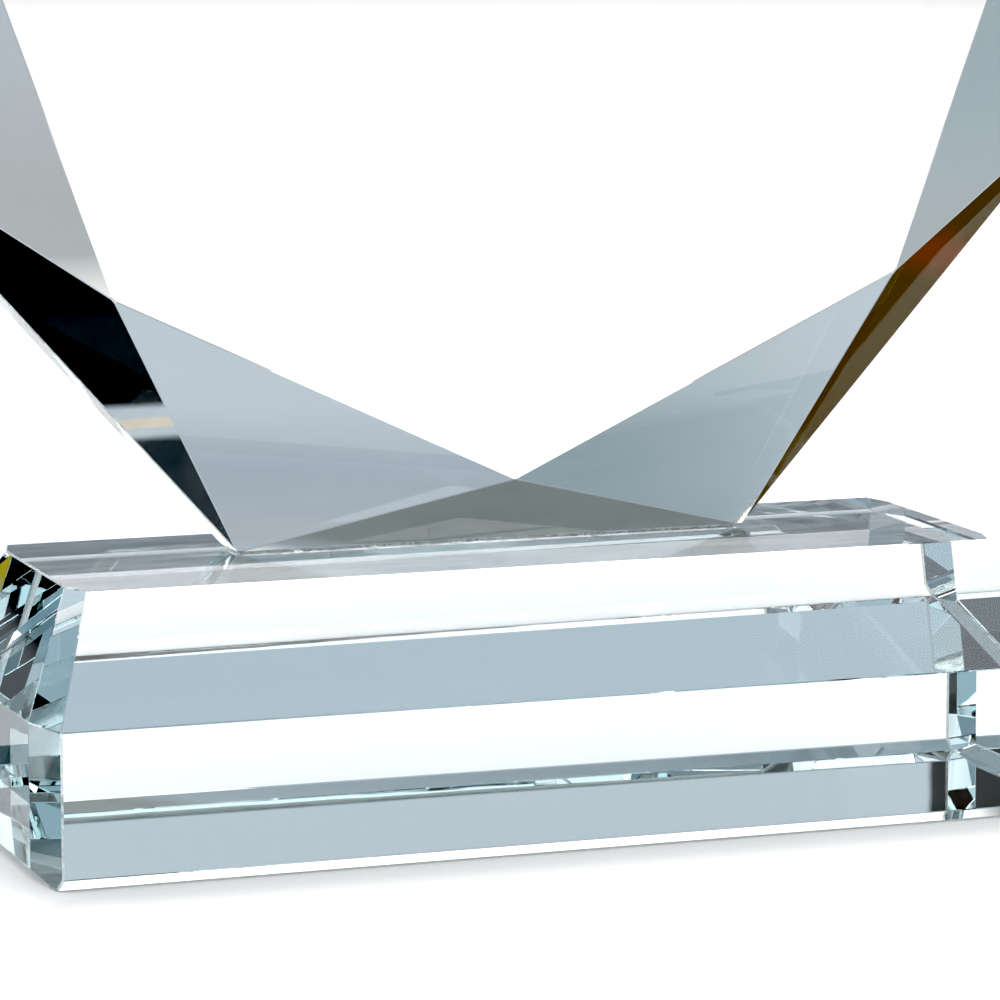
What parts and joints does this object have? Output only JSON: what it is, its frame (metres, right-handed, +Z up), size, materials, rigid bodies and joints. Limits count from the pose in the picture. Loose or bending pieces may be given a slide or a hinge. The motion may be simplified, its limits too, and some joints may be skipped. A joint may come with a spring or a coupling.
{
  "type": "crystal award",
  "caption": "Clear crystal award: a faceted upright octagon plaque with a flat table face for engraving, bonded on end to a long bevelled base block.",
  "frame": {"origin": "middle of the underside of the base block", "axes": "+X along the base, -Y towards the front where the table facet faces, +Z up"},
  "size_m": [0.19, 0.078, 0.2502],
  "materials": {
    "base_crystal": "polished optical crystal",
    "plaque_crystal": "polished optical crystal",
    "clear_adhesive": "clear cured adhesive with small bubbles"
  },
  "bodies": {
    "root": {"base_block": "base_crystal", "faceted_plaque": "plaque_crystal", "adhesive_film": "clear_adhesive"}
  },
  "joints": []
}
